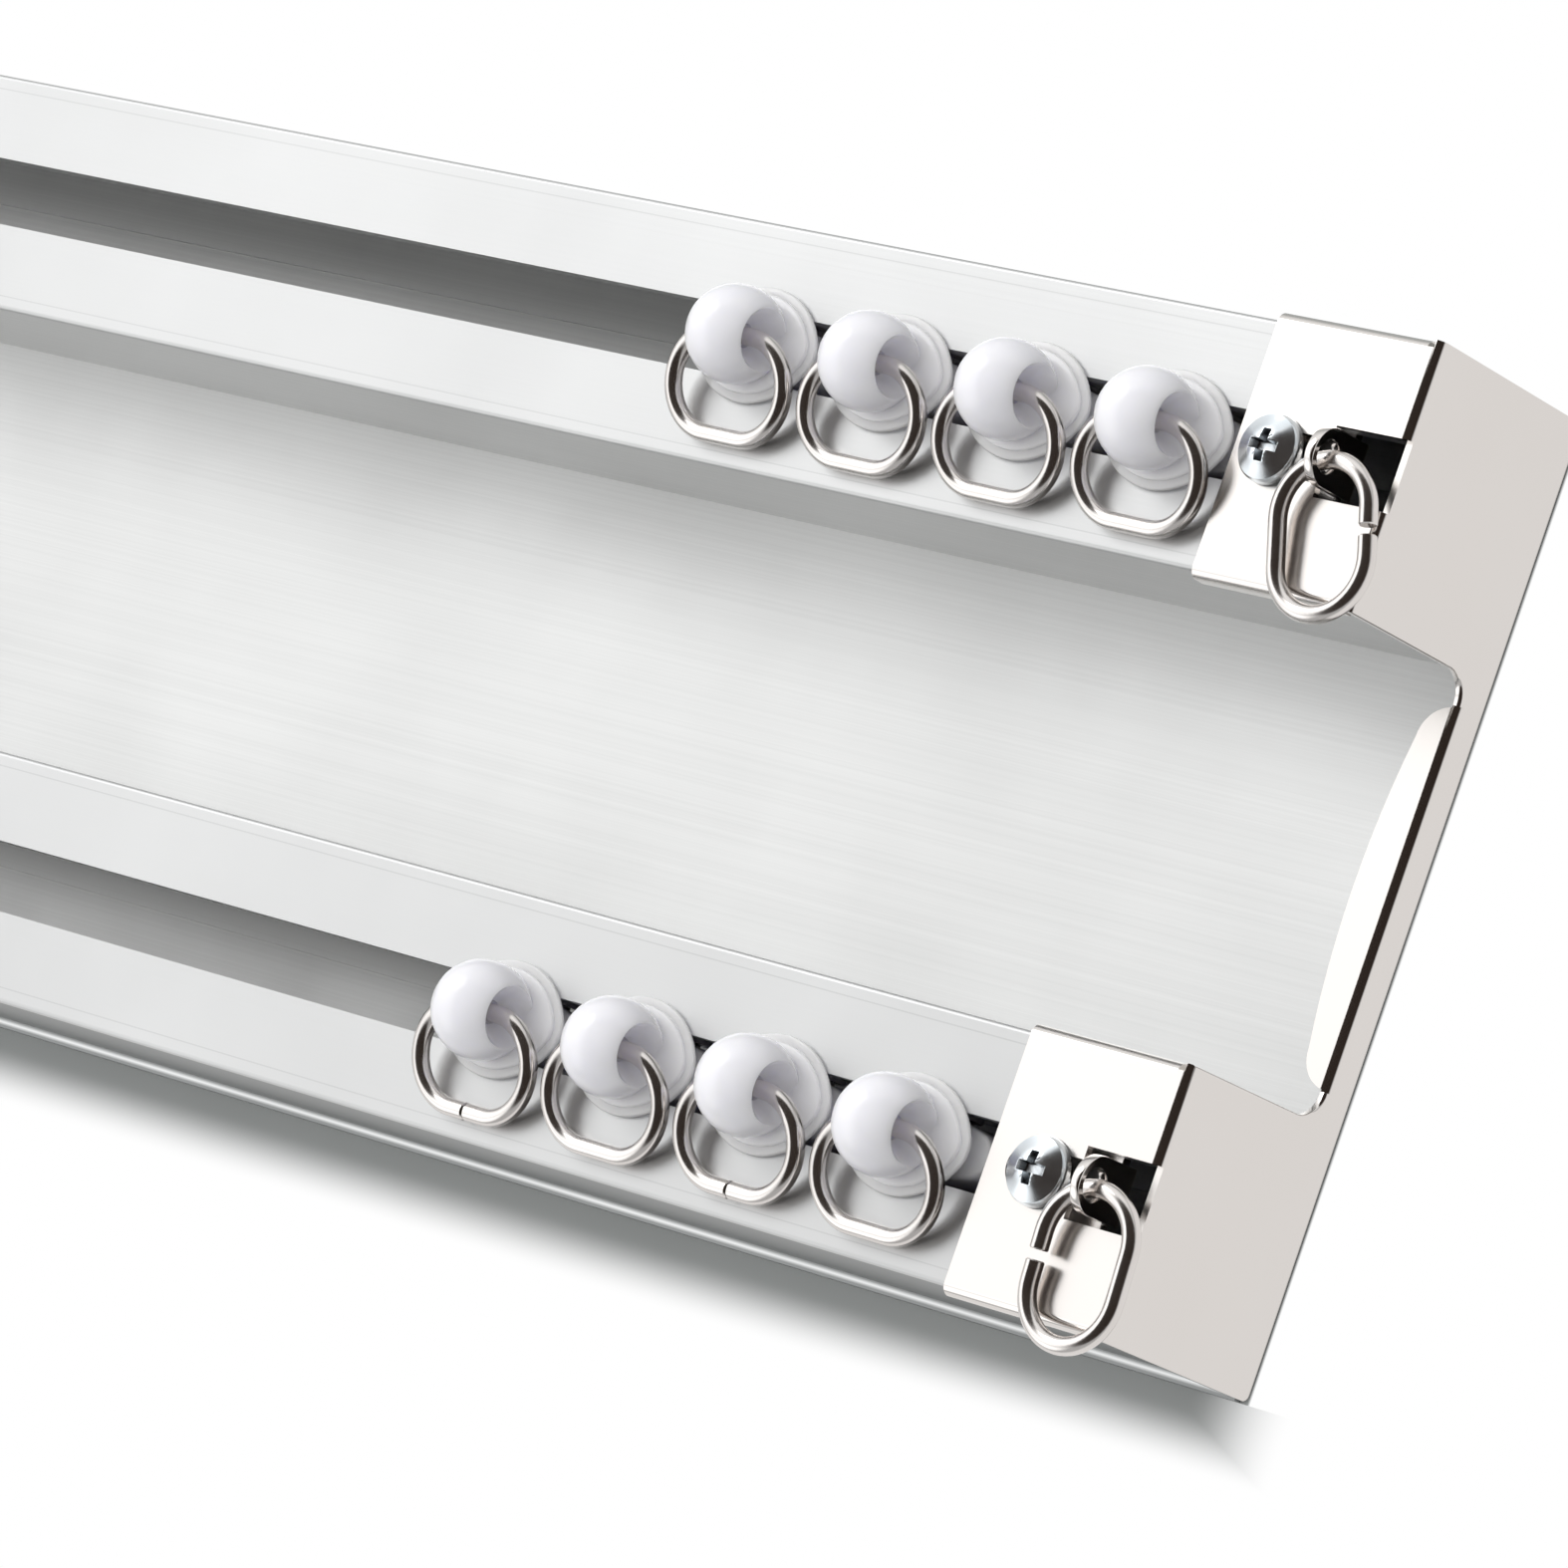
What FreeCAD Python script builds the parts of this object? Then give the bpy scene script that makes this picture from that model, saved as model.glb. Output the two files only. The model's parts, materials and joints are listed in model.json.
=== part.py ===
import FreeCAD, Part
import Sketcher
import math
import os
import re
from FreeCAD import Placement, Rotation, Vector

# A double curtain track lying on its back, slots up. X runs along the track, Y across it from the front
# channel to the rear one, and Z up. The origin is under the middle of the track, on its flat back.

doc = FreeCAD.newDocument("double_curtain_track")
sheet = doc.addObject("Spreadsheet::Sheet", "dims")

# Driving sizes, in millimetres and degrees
sizes = {
    # The extruded rail: places across it are measured from its middle plane
    "rail_length": 598.4,
    "rail_height": 24.0,
    "rail_half": 50.0,
    "valley_half": 23.8,
    "wall": 1.5,
    "slot_lip": 1.6,
    "slot_width": 7.4,
    "web_bottom": 1.5,
    "web_sheet": 1.6,
    "bead_out": 1.0,
    "bead_height": 1.5,
    "bead_flat": 0.9,
    "rail_edge": 0.5,
    "key_width": 6.2,
    "key_depth": 0.5,
    "fixing_bore": 4.2,
    "fixing_pitch": 225.0,
    # The pressed end caps: distances along the track are measured inwards from a cap's outer face
    "cap_sheet": 0.8,
    "tray_length": 20.4,
    "tray_lip": 2.4,
    "tray_bend": 1.2,
    "cap_fold": 1.0,
    "sheared_edge": 0.4,
    "corner_relief": 1.7,
    "notch_length": 9.0,
    "screw_slot": 4.6,
    "screw_slot_end": 15.6,
    "web_lip_middle": 5.2,
    "web_lip_side": 3.9,
    "web_lip_clear": 0.2,
    "web_lip_round": 3.6,
    "valley_round": 3.0,
    "foot_round": 3.0,
    # The cap screws
    "head_width": 7.2,
    "head_height": 2.3,
    "head_edge": 1.1,
    "shank_width": 3.5,
    "shank_length": 6.0,
    "shank_point": 0.5,
    "thread_clear": 0.05,
    "cross_length": 4.4,
    "cross_width": 1.15,
    "cross_depth": 1.3,
    # The eye anchors, one under each end of each slot
    "anchor_sheet": 1.1,
    "anchor_side_gap": 4.1,
    "anchor_reach": 13.3,
    "anchor_to_screw": 8.7,
    "eye_width": 6.0,
    "eye_rise": 3.3,
    "eye_top": 5.7,
    "eye_bore": 3.4,
    "eye_bend": 1.6,
    "anchor_bend": 1.0,
    "rear_eye": 6.7,
    "front_eye": 4.6,
    # The wire rings
    "ring_length": 17.3,
    "ring_width": 12.5,
    "wire": 1.9,
    "open_gap": 1.0,
    "butt_gap": 0.15,
    "hang_down": 0.4,
    "hang_front": 0.3,
    # The runners: heights are measured from the face of the track
    "runner_pitch": 18.6,
    "rear_start": 29.4,
    "front_start": 31.4,
    "ball": 10.4,
    "ball_rise": 4.0,
    "ring_bore": 2.5,
    "head_web": 2.5,
    "bore_mouth": 3.4,
    "bore_mouth_at": 4.1,
    "flange_length": 16.4,
    "flange_width": 12.5,
    "flange_tip": 3.4,
    "flange_sheet": 0.6,
    "flange_step": 0.9,
    "flange_step_rise": 0.5,
    "running_gap": 0.1,
    "neck_length": 13.0,
    "neck_width": 5.4,
    "neck_tip": 1.6,
    "carriage_length": 18.2,
    "carriage_width": 6.6,
    "carriage_tip": 2.4,
    "carriage_depth": 9.0,
    "wheel": 10.0,
    "wheel_side_gap": 0.8,
    "hub_wall": 1.0,
    "hub_over": 0.5,
    "wheel_edge": 0.5,
    "wheel_gap": 0.3,
    "axle": 2.5,
    "axle_gap": 0.1,
    "press_gap": 0.02,
    "axle_over": 0.4,
}
for row, (alias, number) in enumerate(sizes.items(), start=1):
    cell = "A%d" % row
    sheet.set(cell, str(number))
    sheet.setAlias(cell, alias)
doc.recompute()

# Places that several pieces share, as formulas on the sheet's sizes
SLOT = "(rail_half + valley_half) / 2"
CAP_FACE = "rail_length / 2 + cap_sheet"
CHANNEL_TOP = "rail_height - slot_lip"
CHANNEL_HALF = "((rail_half - valley_half) / 2 - wall)"
CAP_TOP = "rail_height + cap_sheet"
AXLE_DROP = "slot_lip + running_gap + wheel / 2"
WHEEL_FACE = "carriage_width / 2 + wheel_gap"
WHEEL_HUB = "(%s - wheel_side_gap - axle_over - (%s))" % (CHANNEL_HALF, WHEEL_FACE)
RING_ARC = "(ring_width - wire) / 2"
RING_SIDE = "ring_length - ring_width"


def bound(formula):
    """Turn a formula on size names into an expression on the sheet's cells."""
    return re.sub(r"[a-z]\w*", lambda name: "dims." + name.group(), formula)


def value(formula):
    """Work out a formula on the sheet's sizes."""
    return float(doc.dims.evalExpression(bound(formula)))


def new_body(label):
    """Start a piece that is built up from sketches and features."""
    body = doc.addObject("PartDesign::Body", label)
    body.Label = label
    return body


def origin_plane(body, role):
    """Find one of a piece's own origin planes or axes by its role."""
    return next(item for item in body.Origin.OriginFeatures if item.Role == role)


def new_sketch(body, name, role, offset="0"):
    """Put a sketch on one of the piece's origin planes, moved along the plane's normal."""
    sketch = body.newObject("Sketcher::SketchObject", name)
    sketch.AttachmentSupport = (origin_plane(body, role), [""])
    sketch.MapMode = "FlatFace"
    sketch.setExpression("AttachmentOffset.Base.z", bound(offset))
    return sketch


def dimension(sketch, kind, target, formula):
    """Add one dimension to a sketch and bind it to its formula."""
    number = sketch.addConstraint(Sketcher.Constraint(kind, *target, value(formula)))
    sketch.setExpression("Constraints[%d]" % number, bound(formula))


def pin_point(sketch, edge, end, place):
    """Dimension one end of a sketch edge from the sketch's origin."""
    dimension(sketch, "DistanceX", (edge, end), place[0])
    dimension(sketch, "DistanceY", (edge, end), place[1])


def draw_outline(sketch, points):
    """Draw a closed outline through dimensioned points. A point with a third entry starts an arc that
    runs counter-clockwise to the next point. That entry places the arc's centre: it is the centre's
    height, or its distance sideways where the arc's ends are one above the other."""
    first, count = sketch.GeometryCount, len(points)
    places = [Vector(value(point[0]), value(point[1]), 0) for point in points]
    ends = places[1:] + places[:1]
    for point, start, end in zip(points, places, ends):
        if len(point) == 2:
            sketch.addGeometry(Part.LineSegment(start, end))
        else:
            sketch.addGeometry(arc_between(start, end, value(point[2])))
    for index in range(count):
        following = first + (index + 1) % count
        sketch.addConstraint(Sketcher.Constraint("Coincident", first + index, 2, following, 1))
    for index, point in enumerate(points):
        pin_point(sketch, first + index, 1, point[:2])
        if len(point) == 3:
            kind = "DistanceX" if stands_over(places[index], ends[index]) else "DistanceY"
            dimension(sketch, kind, (first + index, 3), point[2])


def stands_over(start, end):
    """Say whether two points of a sketch are one above the other."""
    return abs(start.x - end.x) < 1e-6


def arc_between(start, end, centre_at):
    """Make the arc that runs counter-clockwise between two points of an outline."""
    middle, chord = (start + end) * 0.5, end - start
    if stands_over(start, end):
        centre = Vector(centre_at, middle.y, 0)
    else:
        centre = Vector(middle.x - chord.y * (centre_at - middle.y) / chord.x, centre_at, 0)
    circle = Part.Circle(centre, Vector(0, 0, 1), (start - centre).Length)
    low = math.atan2(start.y - centre.y, start.x - centre.x)
    high = math.atan2(end.y - centre.y, end.x - centre.x)
    return Part.ArcOfCircle(circle, low, high + 2 * math.pi * (high < low))


def draw_circle(sketch, place, diameter):
    """Draw a dimensioned circle."""
    centre = Vector(value(place[0]), value(place[1]), 0)
    edge = sketch.addGeometry(Part.Circle(centre, Vector(0, 0, 1), value(diameter) / 2))
    pin_point(sketch, edge, 3, place)
    dimension(sketch, "Diameter", (edge,), diameter)


def draw_oval(sketch, length, width, tip):
    """Draw an oval about the sketch's origin, of two long arcs that run into two round tips."""
    reach = "((%s) / 2 - (%s))" % (length, tip)
    large = "((%s^2 + ((%s) / 2)^2 - (%s)^2) / ((%s) - 2 * (%s)))" % (reach, width, tip, width, tip)
    side = "((%s) / 2 - %s)" % (width, large)
    meet_x = "%s * %s / (%s - (%s))" % (large, reach, large, tip)
    meet_y = "(%s - %s * %s / (%s - (%s)))" % (side, side, large, large, tip)
    draw_outline(sketch, [(meet_x, "-" + meet_y, reach), (meet_x, meet_y, side),
                          ("-" + meet_x, meet_y, "-" + reach), ("-" + meet_x, "-" + meet_y, "-" + side)])


def pad(body, sketch, length, reverse=False, midplane=False):
    """Raise a sketch into a solid."""
    feature = body.newObject("PartDesign::Pad", sketch.Name + "_pad")
    feature.Profile = sketch
    feature.setExpression("Length", bound(length))
    feature.Reversed = reverse
    feature.Midplane = midplane
    doc.recompute()
    return feature


def pocket(body, sketch, length, reverse=False, midplane=False):
    """Cut a sketch out of the piece, and make sure that it removed something."""
    before = body.Shape.Volume
    feature = body.newObject("PartDesign::Pocket", sketch.Name + "_cut")
    feature.Profile = sketch
    feature.setExpression("Length", bound(length))
    feature.Reversed = reverse
    feature.Midplane = midplane
    doc.recompute()
    if body.Shape.Volume >= before:
        raise RuntimeError(sketch.Name + " cuts nothing")
    return feature


def turn_profile(body, sketch, axis, kind="PartDesign::Revolution"):
    """Turn a profile all the way round one of its sketch's axes, as material or as a cut."""
    feature = body.newObject(kind, sketch.Name + "_turned")
    feature.Profile = sketch
    feature.ReferenceAxis = (sketch, [axis])
    feature.Angle = 360
    doc.recompute()
    return feature


def round_edges(body, name, radius, chosen):
    """Round the edges of the piece that a test on their middle and direction picks."""
    base = body.Tip
    names = []
    for index, edge in enumerate(base.Shape.Edges, start=1):
        middle = edge.valueAt((edge.FirstParameter + edge.LastParameter) / 2)
        if chosen(middle, edge):
            names.append("Edge%d" % index)
    if not names:
        raise RuntimeError(name + " finds no edge")
    feature = body.newObject("PartDesign::Fillet", name)
    feature.Base = (base, names)
    feature.setExpression("Radius", bound(radius))
    doc.recompute()
    return feature


def near(number, formula):
    """Say whether a coordinate is at the place that a formula gives."""
    return abs(number - value(formula)) < 0.01


def runs_along(edge, axis):
    """Say whether an edge is straight and parallel to an axis."""
    return isinstance(edge.Curve, Part.Line) and abs(edge.Curve.Direction.dot(axis)) > 0.999


def mirror_whole(body, name, role):
    """Complete a symmetric piece by mirroring all of it in one of its origin planes."""
    feature = body.newObject("PartDesign::Mirrored", name)
    feature.TransformMode = "Whole shape"
    feature.MirrorPlane = (origin_plane(body, role), [""])
    body.Tip = feature
    doc.recompute()
    return feature


def place(piece, x, y, z, rotation=None):
    """Stand a piece at its place in the track, bound to the sheet where it isn't turned."""
    piece.Placement = Placement(Vector(value(x), value(y), value(z)), rotation or Rotation())
    for axis, formula in zip("xyz", (x, y, z)):
        piece.setExpression("Placement.Base." + axis, bound(formula))


# The rail: one aluminium extrusion, with a flat back that screws to a ceiling or a wall bracket
def rail():
    body = new_body("track")
    section = new_sketch(body, "rail_section", "YZ_Plane")
    floor = "wall"
    slot_in, slot_out = SLOT + " - slot_width / 2", SLOT + " + slot_width / 2"
    key_in, key_out = SLOT + " - key_width / 2", SLOT + " + key_width / 2"
    inner, outer = "valley_half + wall", "rail_half - wall"
    draw_outline(section, [
        ("0", "web_bottom"), ("valley_half", "web_bottom"), ("valley_half", "0"),
        ("rail_half + bead_out", "0"), ("rail_half + bead_out", "bead_flat"),
        ("rail_half", "bead_height"), ("rail_half", "rail_height"),
        (slot_out, "rail_height"), (slot_out, CHANNEL_TOP), (outer, CHANNEL_TOP), (outer, floor),
        (key_out, floor), (key_out, "wall - key_depth"), (key_in, "wall - key_depth"), (key_in, floor),
        (inner, floor), (inner, CHANNEL_TOP), (slot_in, CHANNEL_TOP), (slot_in, "rail_height"),
        ("valley_half", "rail_height"), ("valley_half", "web_bottom + web_sheet"),
        ("0", "web_bottom + web_sheet"),
    ])
    pad(body, section, "rail_length", midplane=True)
    round_edges(body, "rail_rounds", "rail_edge", lambda middle, edge: runs_along(edge, Vector(1, 0, 0))
                and near(middle.z, "rail_height") and (near(middle.y, "rail_half")
                                                       or near(middle.y, "valley_half")))
    holes = new_sketch(body, "fixing_holes", "XY_Plane")
    for step in (-1, 0, 1):
        draw_circle(holes, ("%d * fixing_pitch" % step, SLOT), "fixing_bore")
    pocket(body, holes, "wall", reverse=True)
    mirror_whole(body, "both_channels", "XZ_Plane")
    return body


# An end cap: one blank of nickel-plated sheet, folded over the rail's end. It is drawn for the right-hand
# end with its outer face at X = 0, and the other end's cap is the same piece turned round.
def end_cap(label, side):
    body = new_body(label)
    tray_in, tray_out = "valley_half - cap_sheet", "rail_half + cap_sheet"
    web_top = "web_bottom + web_sheet"
    lip_top = web_top + " + cap_sheet"
    plate = new_sketch(body, label + "_plate", "YZ_Plane")
    draw_outline(plate, [("0", "0"), ("0", lip_top),
                         (tray_in + " - valley_round", lip_top, lip_top + " + valley_round"),
                         (tray_in, lip_top + " + valley_round"), (tray_in, CAP_TOP),
                         (tray_out, CAP_TOP), (tray_out, "0")])
    pad(body, plate, "cap_sheet", reverse=True)
    round_edges(body, label + "_sheared", "sheared_edge", lambda middle, edge: near(middle.x, "0")
                and isinstance(edge.Curve, Part.Circle))
    bridge = new_sketch(body, label + "_bridge", "XY_Plane", "rail_height")
    draw_outline(bridge, [("0", "valley_half"), ("0", "rail_half"), ("-corner_relief", "rail_half"),
                          ("-corner_relief", "valley_half")])
    pad(body, bridge, "cap_sheet")
    tray = new_sketch(body, label + "_tray", "YZ_Plane", "-corner_relief")
    lip_end, bend_start = CAP_TOP + " - tray_lip", CAP_TOP + " - tray_bend"
    draw_outline(tray, [("rail_half", "rail_height"), ("rail_half", lip_end), (tray_out, lip_end),
                        (tray_out, bend_start, bend_start), (tray_out + " - tray_bend", CAP_TOP),
                        (tray_in + " + tray_bend", CAP_TOP, bend_start), (tray_in, bend_start),
                        (tray_in, lip_end), ("valley_half", lip_end), ("valley_half", "rail_height")])
    pad(body, tray, "tray_length - corner_relief", reverse=True)
    web_lip = new_sketch(body, label + "_web_lip", "XY_Plane", web_top)
    web_lip_end = tray_in + " - valley_round - web_lip_clear"
    tip_start = web_lip_end + " - web_lip_round"
    draw_outline(web_lip, [("0", "0"), ("0", web_lip_end),
                           ("web_lip_round - web_lip_side", web_lip_end, tip_start),
                           ("-web_lip_side", tip_start, "0"), ("-web_lip_middle", "0")])
    pad(body, web_lip, "cap_sheet")
    notch = new_sketch(body, label + "_notch", "XY_Plane", "rail_height")
    slot_in, slot_out = SLOT + " - slot_width / 2", SLOT + " + slot_width / 2"
    path_in, path_out = SLOT + " - screw_slot / 2", SLOT + " + screw_slot / 2"
    draw_outline(notch, [("0", slot_in), ("0", slot_out), ("-notch_length", slot_out),
                         ("-notch_length", path_out), ("-screw_slot_end", path_out, "-screw_slot_end"),
                         ("-screw_slot_end", path_in), ("-notch_length", path_in),
                         ("-notch_length", slot_in)])
    pocket(body, notch, "cap_sheet", reverse=True)
    for name, top, low, high in (("web", lip_top, "0", tray_in + " - valley_round"),
                                 ("tray", CAP_TOP, tray_in, tray_out)):
        fold = new_sketch(body, "%s_%s_fold" % (label, name), "XZ_Plane", "-(%s)" % low)
        draw_outline(fold, [("0", top + " - cap_fold", top + " - cap_fold"), ("-cap_fold", top),
                            ("0", top)])
        pocket(body, fold, "%s - (%s)" % (high, low))
    round_edges(body, label + "_feet", "foot_round", lambda middle, edge: near(middle.z, "0")
                and runs_along(edge, Vector(1, 0, 0)) and near(middle.y, tray_out))
    mirror_whole(body, label + "_both_sides", "XZ_Plane")
    turned = Rotation(Vector(0, 0, 1), 0 if side > 0 else 180)
    place(body, "%d * (%s)" % (side, CAP_FACE), "0", "0", turned)
    return body


# A cap screw: cross-recessed pan head. Its origin is on its axis, under the head.
def cap_screw(label, x, y):
    body = new_body(label)
    turned = new_sketch(body, label + "_profile", "XZ_Plane")
    crown = "(head_height^2 - (head_width / 2)^2 - head_edge^2) / (2 * (head_height - head_edge))"
    draw_outline(turned, [("0", "-shank_length"), ("shank_width / 2 - shank_point", "-shank_length"),
                          ("shank_width / 2", "shank_point - shank_length"),
                          ("shank_width / 2", "0"), ("head_width / 2", "0"),
                          ("head_width / 2", "head_edge", crown),
                          ("0", "head_height")])
    turn_profile(body, turned, "V_Axis")
    cross = new_sketch(body, label + "_cross", "XY_Plane", "head_height - cross_depth")
    arm, blade = "cross_length / 2", "cross_width / 2"
    draw_outline(cross, [(arm, "-" + blade), (arm, blade), (blade, blade), (blade, arm),
                         ("-" + blade, arm), ("-" + blade, blade), ("-" + arm, blade),
                         ("-" + arm, "-" + blade), ("-" + blade, "-" + blade), ("-" + blade, "-" + arm),
                         (blade, "-" + arm), (blade, "-" + blade)])
    pocket(body, cross, "cross_depth", reverse=True)
    place(body, x, y, CAP_TOP)
    return body


# An eye anchor: a strip of nickel-plated steel clamped under the slot's lips by the cap screw, with its
# end turned up through the slot as an eye. Its origin is on the eye's outer face, at the slot's middle
# plane and the height of the track's face. The strip runs inwards.
def eye_anchor(label, side, y, eye):
    body = new_body(label)
    strip = new_sketch(body, label + "_strip", "XY_Plane", "-slot_lip - anchor_sheet")
    half = "(%s - anchor_side_gap)" % CHANNEL_HALF
    draw_outline(strip, [("0", "-eye_width / 2"), ("0", "eye_width / 2"), ("-eye_bend", "eye_width / 2"),
                         ("-eye_bend", half), ("-anchor_reach", half), ("-anchor_reach", "-" + half),
                         ("-eye_bend", "-" + half), ("-eye_bend", "-eye_width / 2")])
    pad(body, strip, "anchor_sheet")
    tab = new_sketch(body, label + "_tab", "YZ_Plane")
    foot, crown = "-slot_lip - anchor_sheet", "eye_top - eye_width / 2"
    draw_outline(tab, [("-eye_width / 2", foot), ("eye_width / 2", foot),
                       ("eye_width / 2", crown, crown), ("-eye_width / 2", crown)])
    pad(body, tab, "anchor_sheet", reverse=True)
    bore = new_sketch(body, label + "_eye_bore", "YZ_Plane")
    draw_circle(bore, ("0", "eye_rise"), "eye_bore")
    pocket(body, bore, "anchor_sheet")
    thread = new_sketch(body, label + "_thread", "XY_Plane", "-slot_lip")
    draw_circle(thread, ("-anchor_to_screw", "0"), "shank_width + 2 * thread_clear")
    pocket(body, thread, "anchor_sheet")
    round_edges(body, label + "_corners", "eye_bend", lambda middle, edge: near(middle.x, "-anchor_reach")
                and runs_along(edge, Vector(0, 0, 1)))
    round_edges(body, label + "_bend", "anchor_bend", lambda middle, edge: near(middle.z, foot)
                and near(middle.x, "0") and runs_along(edge, Vector(0, 1, 0)))
    turned = Rotation(Vector(0, 0, 1), 0 if side > 0 else 180)
    place(body, "%d * (%s - %s)" % (side, CAP_FACE, eye), y, "rail_height", turned)
    return body


# A wire ring: round wire bent to an oval with its ends at the middle of one long side. It is drawn flat,
# long side along X, with its origin in the middle of the wire of the other long side, and lies towards -Y.
def wire_ring(label, gap):
    parts = []
    for name, shift in (("carried", "0"), ("free", "-2 * (%s)" % RING_ARC)):
        side = doc.addObject("Part::Cylinder", label + "_" + name)
        side.setExpression("Radius", bound("wire / 2"))
        side.setExpression("Height", bound(RING_SIDE))
        side.Placement = Placement(Vector(), Rotation(Vector(0, 1, 0), 90))
        side.setExpression("Placement.Base.x", bound("-(%s) / 2" % RING_SIDE))
        side.setExpression("Placement.Base.y", bound(shift))
        parts.append(side)
    for name, sign, turn in (("right", 1, -90), ("left", -1, 90)):
        bend = doc.addObject("Part::Torus", label + "_" + name)
        bend.setExpression("Radius1", bound(RING_ARC))
        bend.setExpression("Radius2", bound("wire / 2"))
        bend.Angle3 = 180
        bend.Placement = Placement(Vector(), Rotation(Vector(0, 0, 1), turn))
        bend.setExpression("Placement.Base.x", bound("%d * (%s) / 2" % (sign, RING_SIDE)))
        bend.setExpression("Placement.Base.y", bound("-(%s)" % RING_ARC))
        parts.append(bend)
    closed = doc.addObject("Part::MultiFuse", label + "_closed")
    closed.Shapes = parts
    saw = doc.addObject("Part::Box", label + "_saw")
    saw.setExpression("Length", bound(gap))
    saw.setExpression("Width", bound("2 * wire"))
    saw.setExpression("Height", bound("2 * wire"))
    saw.setExpression("Placement.Base.x", bound("-(%s) / 2" % gap))
    saw.setExpression("Placement.Base.y", bound("-2 * (%s) - wire" % RING_ARC))
    saw.setExpression("Placement.Base.z", bound("-wire"))
    ring = doc.addObject("Part::Cut", label)
    ring.Label = label
    ring.Base = closed
    ring.Tool = saw
    return ring


# An eye ring hangs by the round end of its oval. Each row's ring is turned sideways about the eye, and
# slipped so far round that end, in degrees. The dip lays it down on the cap's tray.
EYE_RINGS = {"rear": (17.0, 0.0), "front": (0.0, 13.0)}
eye_drop = value("eye_rise - hang_down - cap_sheet - (wire + running_gap) / 2")
EYE_DIP = math.degrees(math.asin(eye_drop / value("ring_length - wire")))


def hang_ring(ring, side, row, hinge):
    """Hang an eye ring from a point of the eye's bore, lying towards the front on the cap's tray."""
    turn, slip = EYE_RINGS[row]
    arc = value(RING_ARC)
    reach = value(RING_SIDE) / 2 + arc
    angle = math.radians(slip)
    pivot = Vector(-arc * math.sin(angle), reach - arc + arc * math.cos(angle), 0)
    quarter = 90 * side if row == "rear" else -90 * side
    lengthwise = Placement(Vector(), Rotation(Vector(0, 0, 1), quarter))
    centred = Placement(Vector(0, arc, 0), Rotation())
    to_pivot = Placement(Vector(-side * pivot.x, -pivot.y, 0), Rotation())
    swing = Placement(Vector(), Rotation(Vector(0, 0, 1), side * (turn + slip)))
    lean = Placement(Vector(), Rotation(Vector(1, 0, 0), EYE_DIP))
    back = Placement(Vector(), Rotation(Vector(0, 0, 1), -side * slip))
    in_bore = Placement(hinge, Rotation())
    ring.Placement = in_bore * swing * lean * back * to_pivot * lengthwise * centred


# A runner: one nylon moulding. Its origin is at the height of the track's face, in the middle.
def runner_body(label, x, y):
    body = new_body(label)
    head = new_sketch(body, label + "_head", "XZ_Plane")
    draw_outline(head, [("0", "ball_rise - ball / 2", "0"), ("0", "ball_rise + ball / 2")])
    turn_profile(body, head, "V_Axis")
    levels = (
        ("rim", "flange_length", "flange_width", "flange_tip", "running_gap", "flange_sheet"),
        ("step", "flange_length - 2 * flange_step", "flange_width - 2 * flange_step",
         "flange_tip - flange_step", "running_gap + flange_sheet", "flange_step_rise"),
        ("neck", "neck_length", "neck_width", "neck_tip", "-slot_lip - 2 * running_gap",
         "slot_lip + 3 * running_gap"),
        ("carriage", "carriage_length", "carriage_width", "carriage_tip",
         "-slot_lip - 2 * running_gap - carriage_depth", "carriage_depth"),
    )
    for name, length, width, tip, bottom, height in levels:
        oval = new_sketch(body, label + "_" + name, "XY_Plane", bottom)
        draw_oval(oval, length, width, tip)
        pad(body, oval, height)
    mouth = new_sketch(body, label + "_mouth", "XZ_Plane")
    base = "ball_rise + "
    draw_outline(mouth, [("-ball", "ball_rise"), ("ball", "ball_rise"), ("ball", base + "bore_mouth"),
                         ("bore_mouth_at", base + "bore_mouth"), ("head_web / 2", base + "ring_bore / 2"),
                         ("-head_web / 2", base + "ring_bore / 2"), ("-bore_mouth_at", base + "bore_mouth"),
                         ("-ball", base + "bore_mouth")])
    turn_profile(body, mouth, "Edge1", "PartDesign::Groove")
    bore = new_sketch(body, label + "_axle_bore", "XZ_Plane")
    draw_circle(bore, ("0", "-(%s)" % AXLE_DROP), "axle + 2 * axle_gap")
    pocket(body, bore, "2 * carriage_width", midplane=True)
    place(body, x, y, "rail_height")
    return body


# A runner's axle: a plain steel pin across the carriage
def runner_axle(label, x, y):
    pin = doc.addObject("Part::Cylinder", label)
    pin.Label = label
    length = "2 * (%s - wheel_side_gap)" % CHANNEL_HALF
    pin.setExpression("Radius", bound("axle / 2"))
    pin.setExpression("Height", bound(length))
    place(pin, x, "%s - (%s) / 2" % (y, length), "rail_height - (%s)" % AXLE_DROP,
          Rotation(Vector(1, 0, 0), -90))
    return pin


# A runner's wheel: moulded nylon with a tread, a hub and a bore pressed on the axle. It is turned about
# the Y axis, with its hub towards the carriage.
def runner_wheel(label, side, x, y):
    body = new_body(label)
    half = new_sketch(body, label + "_profile", "XY_Plane")
    bore, hub, tread = "axle / 2 + press_gap", "axle / 2 + hub_wall", "wheel / 2"
    rim = WHEEL_HUB + " - hub_over"
    draw_outline(half, [(bore, "0"), (hub, "0"), (hub, "wheel_edge"),
                        (tread + " - wheel_edge", "wheel_edge"),
                        (tread, "2 * wheel_edge"), (tread, rim + " - wheel_edge"),
                        (tread + " - wheel_edge", rim), (hub + " + hub_over", rim),
                        (hub, WHEEL_HUB), (bore, WHEEL_HUB)])
    turn_profile(body, half, "V_Axis")
    place(body, x, "%s + %d * (%s)" % (y, side, WHEEL_FACE), "rail_height - (%s)" % AXLE_DROP,
          Rotation(Vector(0, 0, 1), 0 if side > 0 else 180))
    return body


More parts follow.
